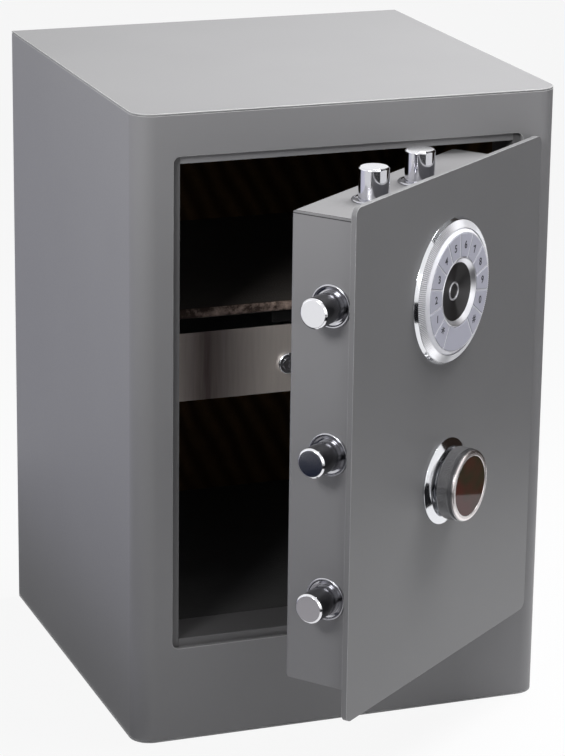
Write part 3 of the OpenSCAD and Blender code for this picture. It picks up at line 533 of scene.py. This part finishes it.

# ---------------------------------------------------------------- drawer
# A shallow tray of bent sheet that hangs by its rims in two channels, behind a
# brushed front folded back at its foot and ends, with a painted dark reflection at its left.

drawer_steel, nodes, links, shader = new_material("drawer_steel", (0.4, 0.36, 0.33), 0.36, 0.75)
surface = group_node(nodes, steel_skin, Stretch=(1, 1, 0.06))
across = nodes.new("ShaderNodeSeparateXYZ")
links.new(nodes.new("ShaderNodeTexCoord").outputs["Object"], across.inputs[0])
# A painted reflection: the front is dark in a band round x = -0.108 and bright away from it, as if
# mirroring the dark inside.
reflection_band_at, reflection_band_reach = -0.108, 0.065
beside = math_node(nodes, links, "SUBTRACT", across.outputs["X"], reflection_band_at)
away = math_node(nodes, links, "ABSOLUTE", beside)
reflection_band = math_node(nodes, links, "SMOOTH_MIN", math_node(nodes, links, "DIVIDE", away, reflection_band_reach),
                  1.0, 0.3)
reflection_share = math_node(nodes, links, "MULTIPLY_ADD", surface.outputs["Streak"], 0.2,
                  math_node(nodes, links, "MULTIPLY", reflection_band, 0.8))
links.new(mixed(nodes, links, reflection_share, (0.07, 0.04, 0.04), (0.95, 0.87, 0.80)), shader.inputs["Base Color"])
links.new(surface.outputs["Normal"], shader.inputs["Normal"])
tray_steel = brushed("tray_steel", (0.30, 0.30, 0.31), (0.42, 0.42, 0.43), 0.32, (1, 0.08, 1))

eased_piece("drawer_runners", "drawer_channels", tray_steel, "safe", 0.0004)
# The keeper's near-black steel is painted shade: a steel catch that sits in the shade inside the body.
keeper_shade_steel = brushed("keeper_shade_steel", (0.010, 0.010, 0.010), (0.020, 0.020, 0.020), 0.4, (0.1, 1, 1), 0.6)
eased_piece("drawer_keeper", "drawer_catch", keeper_shade_steel, "safe", 0.0004)
eased_piece("drawer_tray", "drawer_pan", tray_steel, "drawer", 0.0003)
eased_piece("drawer_front", "drawer_face", drawer_steel, "drawer", 0.0006)

# ----------------------------------------------------------- drawer lock
# A chromed cam lock: a flanged barrel through the drawer front and a slotted plug
# with the tongue at its back.

polish_skin, skin, skin_links, skin_in, skin_out = new_group(
    "polish_skin", [("Scale", "NodeSocketFloat", 1.0)],
    [("Smear", "NodeSocketFloat"), ("Normal", "NodeSocketVector")])
polish_at = skin.new("ShaderNodeTexCoord").outputs["Object"]
polish_map = skin.new("ShaderNodeVectorMath")
polish_map.operation = "SCALE"
skin_links.new(polish_at, polish_map.inputs[0])
skin_links.new(skin_in.outputs["Scale"], polish_map.inputs["Scale"])
skin_links.new(noise_node(skin, skin_links, polish_map.outputs[0], 60, 4, 0.6), skin_out.inputs["Smear"])
polish_wave = noise_node(skin, skin_links, polish_map.outputs[0], 40, 1)
skin_links.new(bump_node(skin, skin_links, polish_wave, 0.1, 0.0004), skin_out.inputs["Normal"])


def polished(name, colour, low, high, metallic=1.0, coat_weight=0.0):
    """A polished surface whose smears change its roughness from low to high."""
    made, nodes, links, shader = new_material(name, colour, low, metallic)
    surface = group_node(nodes, polish_skin)
    links.new(ranged(nodes, links, surface.outputs["Smear"], low, high), shader.inputs["Roughness"])
    links.new(surface.outputs["Normal"], shader.inputs["Normal"])
    shader.inputs["Coat Weight"].default_value = coat_weight
    return made


chrome = polished("chrome", (0.80, 0.81, 0.84), 0.06, 0.14)

eased_piece("drawer_lock_barrel", "lock_barrel", chrome, "drawer", 0.0003)
eased_piece("drawer_lock_cam", "lock_plug", bright_steel, "drawer_lock", 0.0003)

# ------------------------------------------------------------ door plate
# A flat 5 mm plate, its edges rounded by a millimetre before coating. The rounded
# edges take a much lighter copy of the coat, a painted highlight that draws a bright line along each.

# The door's coat is the body's powder coat made a little darker, as painted shade on the door.
door_coat = coated("door_coat", (0.153, 0.152, 0.155), (0.171, 0.170, 0.173), 0.40)
door_edge_highlight = coated("door_edge_highlight", (0.44, 0.44, 0.44), (0.58, 0.58, 0.58), 0.26)
eased_piece("door_plate", "door_leaf", (door_coat, door_edge_highlight), "door", 0.0010, 4)

# ------------------------------------------------------------- lock case
# A welded box of 2 mm sheet on the plate's back with rounded back folds and open
# seams along the top and the foot, closed by a screwed cover with a battery lid.

# The seams are painted near-black: the faces inside the seam grooves and a thin band along the top seam
# take it, as painted shade for the open seams.
seam_shade = new_material("seam_shade", (0.02, 0.02, 0.02), 0.8)[0]
hinge_x, hinge_back, door_open = 0.187, 0.021, math.radians(38)
door_turn = (Matrix.Translation((hinge_x, hinge_back - half_depth, 0))
             @ Matrix.Rotation(door_open, 4, "Z") @ Matrix.Translation((-hinge_x, -hinge_back, 0)))
case_left, case_right, case_low, case_high = -0.1555, 0.1235, 0.1185, 0.545
top_seam_low, top_seam_high, fold_clear = 0.5423, 0.5432, 0.001
seam_in, seam_down = (0.0003, 0.0018), (0.0001, 0.0010)
bm = eased_mesh("lock_case", 0.0003, 2, 1)
to_closed = door_turn.inverted()
for face in bm.faces:
    middle = to_closed @ face.calc_center_median()
    inward = min(middle.x - case_left, case_right - middle.x)
    down = min(case_high - middle.z, middle.z - case_low)
    if seam_in[0] < inward < seam_in[1] and seam_down[0] < down < seam_down[1]:
        face.material_index = 2
# A thin band along the top seam, which has no groove, is painted dark: a painted shadow line.
for seam_z in (top_seam_low, top_seam_high):
    bmesh.ops.bisect_plane(bm, geom=bm.verts[:] + bm.edges[:] + bm.faces[:], plane_co=(0, 0, seam_z),
                           plane_no=(0, 0, 1))
for face in bm.faces:
    middle = to_closed @ face.calc_center_median()
    beside = min(middle.x - case_left, case_right - middle.x)
    if top_seam_low < middle.z < top_seam_high and beside <= fold_clear:
        face.material_index = 2
add_piece("case_box", bm, (coat, coat_edge_highlight, seam_shade), "door", ("lock_case",))
eased_piece("case_cover", "case_lid", coat, "door", 0.0005)
eased_piece("cover_screws", "lid_screws", bright_steel, "door", 0.0002, 2)

battery_black = coated("battery_black", (0.020, 0.020, 0.021), (0.028, 0.028, 0.030), 0.5)
eased_piece("battery_box", "battery_lid", battery_black, "door", 0.0005)

# ----------------------------------------------------- bolts and collars
# Turned and chromed round bolts with a chamfered, faced end, running in thin
# flanged collars on the case.

uv_per_metre = 10


def turned(profile, steps, place, ease=0.0):
    """Spins the profile of (radius, height) round the height axis and puts it at place.

    The faces that look sideways take the piece's second material, where it has one.
    """
    bm = bmesh.new()
    points = wire(bm, [(radius, 0, height) for radius, height in profile])
    if ease:
        bmesh.ops.bevel(bm, geom=points[1:-1], offset=ease, segments=3, profile=0.5,
                        affect="VERTICES", material=-1)
    bmesh.ops.spin(bm, geom=bm.verts[:] + bm.edges[:], cent=(0, 0, 0), axis=(0, 0, 1), dvec=(0, 0, 0),
                   angle=2 * math.pi, steps=steps, use_merge=True)
    bmesh.ops.remove_doubles(bm, verts=bm.verts, dist=1e-7)
    bmesh.ops.recalc_face_normals(bm, faces=bm.faces)
    polar = bm.loops.layers.uv.new("polar")
    for face in bm.faces:
        face.material_index = int(abs(face.normal.z) < 0.3)
        middle = face.calc_center_median()
        around = math.atan2(middle.y, middle.x)
        for loop in face.loops:
            spot = loop.vert.co
            angle = math.atan2(spot.y, spot.x) if spot.xy.length > 1e-6 else around
            if angle - around > math.pi:
                angle -= 2 * math.pi
            elif around - angle > math.pi:
                angle += 2 * math.pi
            loop[polar].uv = (angle / (2 * math.pi) + 0.5, uv_per_metre * (spot.xy.length + spot.z))
    bm.transform(place)
    return bm


def joined(*parts):
    """One bmesh out of several, which are used up."""
    whole = bmesh.new()
    for part in parts:
        mesh = bpy.data.meshes.new("part")
        part.to_mesh(mesh)
        part.free()
        whole.from_mesh(mesh)
        bpy.data.meshes.remove(mesh)
    return whole


bolt_chrome = polished("bolt_chrome", (0.80, 0.80, 0.83), 0.07, 0.13)
# The sideways faces of the bolts take darker copies of the chrome: painted shade and reflection on their
# walls.
side_bolt_shade = polished("side_bolt_shade", (0.15, 0.15, 0.16), 0.16, 0.28)
top_bolt_shade = polished("top_bolt_shade", (0.62, 0.62, 0.66), 0.07, 0.13)
collar_chrome = polished("collar_chrome", (0.52, 0.52, 0.55), 0.08, 0.14)

bolt_profile = ((0, 0.004), (0.0135, 0.004), (0.0135, 0.0605), (0.0120, 0.062), (0, 0.062))
bolt_back, bolt_inside, top_shorter = 0.030, 0.032, 0.010
side_heights, top_spots = (0.2005, 0.3335, 0.4665), (-0.0875, -0.0075)
side_foot = door_turn @ Matrix.Translation((case_left + bolt_inside, bolt_back, 0))
side_places = [side_foot @ Matrix.Translation((0, 0, z)) @ Matrix.Rotation(-math.pi / 2, 4, "Y")
               for z in side_heights]
side_parts = [turned(bolt_profile, 96, place, 0.0003) for place in side_places]
add_piece("side_bolt_rods", joined(*side_parts), (bolt_chrome, side_bolt_shade), "side_bolt_set",
          ("side_bolts",))

top_inside = bolt_inside - top_shorter
top_profile = [(radius, height - (top_shorter if height > top_shorter else 0))
               for radius, height in bolt_profile]
top_places = [door_turn @ Matrix.Translation((x, bolt_back, case_high - top_inside))
              for x in top_spots]
top_parts = [turned(top_profile, 96, place, 0.0003) for place in top_places]
add_piece("top_bolt_rods", joined(*top_parts), (bolt_chrome, top_bolt_shade), "top_bolt_set",
          ("top_bolts",))

collar_profile = ((0.01355, 0), (0.0195, 0), (0.0195, 0.0012), (0.0188, 0.002), (0.0178, 0.002),
                  (0.0168, 0.0009), (0.0148, 0.0006), (0.01355, 0.0006), (0.01355, 0))
collar_parts = [turned(collar_profile, 96, place @ Matrix.Translation((0, 0, inside)), 0.0002)
                for places, inside in ((side_places, bolt_inside), (top_places, top_inside))
                for place in places]
add_piece("bolt_flanges", joined(*collar_parts), collar_chrome, "door", ("bolt_collars",))

# -------------------------------------------------------------- boltwork
# Hidden in the case: plain bright bars, the slotted disc on the knob's spindle and
# the black coil whose pin blocks the disc.

for node, name, body in (("side_bolt_bar", "side_bar", "side_bolt_set"),
                         ("top_bolt_bar", "top_bar", "top_bolt_set"),
                         ("drive_cam", "slotted_disc", "knob"),
                         ("knob_spindle", "spindle", "knob"),
                         ("blocking_pin", "coil_pin", "blocking_pin")):
    eased_piece(node, name, bright_steel, body, 0.0004, 2)
eased_piece("solenoid_body", "coil", battery_black, "door", 0.0004, 2)

# ---------------------------------------------------------------- keypad
# A chromed bezel with a steep bevel, a finely ridged silver ring, a white face with
# a pocket for each key, and a dark spun dish in a bright lip at its centre.


def face_frame(height):
    """Puts a piece drawn round the origin on the door plate's face at that height."""
    return door_turn @ Matrix.Translation((0, 0, height)) @ Matrix.Rotation(math.pi / 2, 4, "X")


keypad_at = face_frame(0.449)
bezel_profile = ((0.0509, 0), (0.0665, 0), (0.0665, 0.0006), (0.0645, 0.0038), (0.0642, 0.0038),
                 (0.0642, 0.0025), (0.0509, 0.0025), (0.0509, 0))
add_piece("bezel", turned(bezel_profile, 192, keypad_at, 0.00025), chrome, "door",
          ("keypad_bezel",), 25)

ring_steel = polished("ring_steel", (0.74, 0.74, 0.77), 0.30, 0.38, 0.8)
# The faces down in the ridges' hollows take a darker copy of the ring's steel: painted shade in the
# grooves.
groove_shade_steel = polished("groove_shade_steel", (0.34, 0.34, 0.36), 0.30, 0.38, 0.8)
ridge_count, ridge_depth = 216, 0.0006
bm = bmesh.new()
rings = []
for radius, height in ((0.0641, 0.0026), (0.0641, 0.0041), (0.0573, 0.0071), (0.0573, 0.0026)):
    circle = bmesh.ops.create_circle(bm, segments=4 * ridge_count, radius=radius)["verts"]
    bmesh.ops.translate(bm, verts=circle, vec=(0, 0, height))
    rings.append(circle)
for first, second in zip(rings, rings[1:]):
    loops = [edge for circle in (first, second) for edge in {e for v in circle for e in v.link_edges}
             if edge.verts[0] in circle and edge.verts[1] in circle]
    bmesh.ops.bridge_loops(bm, edges=loops)
low_spots = {vert for circle in rings[1:3] for vert in circle
             if round(math.atan2(vert.co.y, vert.co.x) / math.pi * 2 * ridge_count) % 4 > 1}
bmesh.ops.translate(bm, verts=list(low_spots), vec=(0, 0, -ridge_depth))
for face in bm.faces:
    face.material_index = int(len(low_spots.intersection(face.verts)) > 2)
bm.transform(keypad_at)
add_piece("ridged_ring", bm, (ring_steel, groove_shade_steel), "door", ("keypad_ring",), 20)

white_gloss = polished("white_gloss", (0.80, 0.80, 0.84), 0.16, 0.26, 0.0, 0.3)
add_piece("white_face", eased_mesh("keypad_face", 0.0002, 2), white_gloss, "door",
          ("keypad_face",))

key_plastic = polished("key_plastic", (0.45, 0.45, 0.52), 0.30, 0.42, 0.0)
ink = new_material("ink", (0.020, 0.019, 0.028), 0.5)[0]
key_names = ("star", "1", "2", "3", "4", "5", "6", "7", "8", "9", "0", "hash")
key_marks = {"star": "*", "hash": "#"}
first_key, key_step, mark_radius, mark_height = 227.5, 25, 0.0422, 0.00943
for i, key_name in enumerate(key_names):
    body = "key_" + key_name
    eased_piece(body, "cap_" + key_name, key_plastic, body, 0.00035)
    letter = bpy.data.curves.new("mark", "FONT")
    letter.body = key_marks.get(key_name, key_name)
    letter.align_x = "CENTER"
    letter.align_y = "CENTER"
    letter.size = 0.0095 if key_name != "star" else 0.014
    letter.offset = 0.0002
    letter.extrude = 0.00003
    holder = bpy.data.objects.new("mark", letter)
    bpy.context.scene.collection.objects.link(holder)
    bpy.context.view_layer.update()
    shape = bpy.data.meshes.new_from_object(holder)
    bpy.data.objects.remove(holder)
    bpy.data.curves.remove(letter)
    around = math.radians(first_key - key_step * i)
    bm = bmesh.new()
    bm.from_mesh(shape)
    bpy.data.meshes.remove(shape)
    spot = Vector((mark_radius * math.cos(around), mark_radius * math.sin(around), mark_height))
    bm.transform(keypad_at @ Matrix.Translation(spot))
    add_piece("mark_" + key_name, bm, ink, body)
eased_piece("keypad_blank", "blank_field", key_plastic, "door", 0.00035)

lip_profile = ((0.0264, 0.0055), (0.0312, 0.0055), (0.0312, 0.0090), (0.0308, 0.0094), (0.0303, 0.0094),
               (0.0264, 0.0062), (0.0264, 0.0055))
dish_profile = ((0.0268, 0.0030), (0.0268, 0.0062), (0.0096, 0.0032), (0, 0.0032))
spot_profile = ((0.0069, 0.0026), (0.0085, 0.0026), (0.0085, 0.0038), (0.0082, 0.0042), (0.0072, 0.0042),
                (0.0069, 0.0039), (0.0069, 0.0026))
dish_dark, nodes, links, shader = new_material("dish_dark", (0.085, 0.083, 0.085), 0.32, 0.9)
tangent = nodes.new("ShaderNodeTangent")
tangent.direction_type = "UV_MAP"
tangent.uv_map = "polar"
links.new(tangent.outputs[0], shader.inputs["Tangent"])
shader.inputs["Anisotropic"].default_value = 0.9
shader.inputs["Anisotropic Rotation"].default_value = 0.25
lip_silver = polished("lip_silver", (0.84, 0.84, 0.88), 0.30, 0.38)
add_piece("hub_lip", turned(lip_profile, 160, keypad_at, 0.0002), lip_silver, "door",
          ("keypad_hub",), 25)
add_piece("hub_dish", turned(dish_profile, 160, keypad_at), dish_dark, "door", ("keypad_hub",), 25)
add_piece("hub_spot", turned(spot_profile, 96, keypad_at, 0.00015), lip_silver, "door",
          ("keypad_hub",), 25)

# ------------------------------------------------------------------ knob
# A chromed rose, and on it a knob with a fine ribbed grip, a smooth band, a pale
# rim and a mirror-gloss brown cap let into its face.

knob_at = face_frame(0.271)
rose_profile = ((0.00605, 0), (0.040, 0), (0.040, 0.0015), (0.0394, 0.0019), (0.0333, 0.005),
                (0.0313, 0.005), (0.0303, 0.003), (0.0233, 0.003), (0.0223, 0.005), (0.00605, 0.005),
                (0.00605, 0))
add_piece("rose", turned(rose_profile, 192, knob_at, 0.00025), chrome, "door",
          ("knob_rose",), 25)

rib_count, rib_outer, rib_inner, grip_low, grip_length = 132, 0.0335, 0.0327, 0.010, 0.0105
bm = bmesh.new()
ribs = bmesh.ops.create_circle(bm, cap_ends=True, segments=4 * rib_count, radius=rib_outer)["verts"]
for vert in ribs:
    step = round(math.atan2(vert.co.y, vert.co.x) / (2 * math.pi) * 4 * rib_count) % 4
    if step > 1:
        vert.co *= rib_inner / rib_outer
bmesh.ops.translate(bm, verts=bm.verts, vec=(0, 0, grip_low))
grown = bmesh.ops.extrude_face_region(bm, geom=bm.faces[:])["geom"]
bmesh.ops.translate(bm, verts=[v for v in grown if isinstance(v, bmesh.types.BMVert)],
                    vec=(0, 0, grip_length))
bm.transform(knob_at)
neck_profile = ((0, 0.0055), (0.0273, 0.0055), (0.0273, 0.0110), (0, 0.0110))
band_profile = ((0, 0.0200), (0.0329, 0.0200), (0.0329, 0.0247), (0.0290, 0.0249), (0, 0.0247))
rim_profile = ((0.0290, 0.0246), (0.0321, 0.0250), (0.0323, 0.0255), (0.0321, 0.0259), (0.0303, 0.0265),
               (0.0278, 0.0265), (0.0275, 0.0262), (0.0275, 0.0249), (0.0290, 0.0246))
knob_chrome = polished("knob_chrome", (0.58, 0.58, 0.59), 0.10, 0.20)
band_chrome = polished("band_chrome", (0.30, 0.30, 0.31), 0.12, 0.22)
rim_pale = polished("rim_pale", (0.90, 0.85, 0.85), 0.22, 0.30)
neck, band = turned(neck_profile, 160, knob_at), turned(band_profile, 192, knob_at, 0.0002)
add_piece("knob_body", joined(bm, neck, band), (knob_chrome, band_chrome), "knob",
          ("knob_grip",), 25)

add_piece("knob_rim", turned(rim_profile, 192, knob_at, 0.00015), rim_pale, "knob",
          ("knob_grip",), 25)

cap_profile = ((0, 0.0249), (0.0274, 0.0249), (0.0274, 0.0261), (0, 0.0261))
smoked, nodes, links, shader = new_material("smoked", (0.03, 0.02, 0.016), 0.03)
depth = noise_node(nodes, links, nodes.new("ShaderNodeTexCoord").outputs["Object"], 30, 2)
share = ranged(nodes, links, depth, -1.5, 2.5)
links.new(mixed(nodes, links, share, (0.038, 0.033, 0.020), (0.075, 0.026, 0.020)),
          shader.inputs["Base Color"])
shader.inputs["Specular IOR Level"].default_value = 0.22
shader.inputs["Specular Tint"].default_value = (0.74, 0.80, 1, 1)
add_piece("knob_glass", turned(cap_profile, 160, knob_at, 0.0002), smoked, "knob",
          ("knob_cap",), 25)

# ----------------------------------------------------------------- flags
# Dark and grey boards on and beside the white floor that only mirrors see: the bright
# metal draws its dark bands from them, and they cast no shadow and give no light.


def flag(name, colour, corners):
    """A board between four corners that shows in mirror rays alone."""
    bm = bmesh.new()
    bm.faces.new([bm.verts.new(corner) for corner in corners])
    mesh = bpy.data.meshes.new(name)
    bm.to_mesh(mesh)
    bm.free()
    board_tone = bpy.data.materials.new(name)
    board_tone.use_nodes = True
    board_tone.node_tree.nodes.clear()
    glow = board_tone.node_tree.nodes.new("ShaderNodeEmission")
    glow.inputs["Color"].default_value = (*colour, 1)
    board_out = board_tone.node_tree.nodes.new("ShaderNodeOutputMaterial")
    board_tone.node_tree.links.new(glow.outputs[0], board_out.inputs[0])
    mesh.materials.append(board_tone)
    board = bpy.data.objects.new(name, mesh)
    bpy.context.scene.collection.objects.link(board)
    board.visible_camera = False
    board.visible_diffuse = False
    board.visible_transmission = False
    board.visible_volume_scatter = False
    board.visible_shadow = False


def level_flag(name, colour, left, right, front, back, height):
    """A flag that lies level at the height."""
    flag(name, colour, ((left, front, height), (left, back, height),
                        (right, back, height), (right, front, height)))


flag("flag_right", (0.020, 0.014, 0.011),
     ((0.80, -0.45, 0.001), (0.80, 0.5, 0.001), (0.80, 0.5, 1.3), (0.80, -0.45, 1.3)))
level_flag("flag_front", (0.010, 0.010, 0.011), -0.6, 1.2, -1.75, -0.90, 0.004)
level_flag("flag_near", (0.012, 0.012, 0.013), 0.08, 1.0, -0.90, -0.53, 0.005)
level_flag("flag_bolts", (0.012, 0.012, 0.014), -1.65, -0.10, -3.10, -1.75, 0.003)
level_flag("flag_far", (0.012, 0.012, 0.014), -0.10, 0.90, -3.10, -2.08, 0.003)
level_flag("flag_above", (0.08, 0.08, 0.085), 0.25, 0.80, -1.30, 0.50, 1.25)
level_flag("flag_grey", (0.34, 0.33, 0.34), -0.70, -0.40, -1.3, 0.1, 0.003)
level_flag("flag_blue", (0.70, 0.70, 0.82), -2.4, -0.32, -0.3, 3.5, 0.0015)
# This board beside the left foot stands in for the safe's shadow on the floor as the coat's side mirrors
# it: a painted shadow seen only in reflection.
level_flag("flag_foot_shadow", (0.25, 0.25, 0.25), -0.32, -0.206, -0.30, 0.60, 0.002)
level_flag("flag_left", (0.008, 0.011, 0.024), -1.22, -0.70, -1.3, 0.1, 0.003)
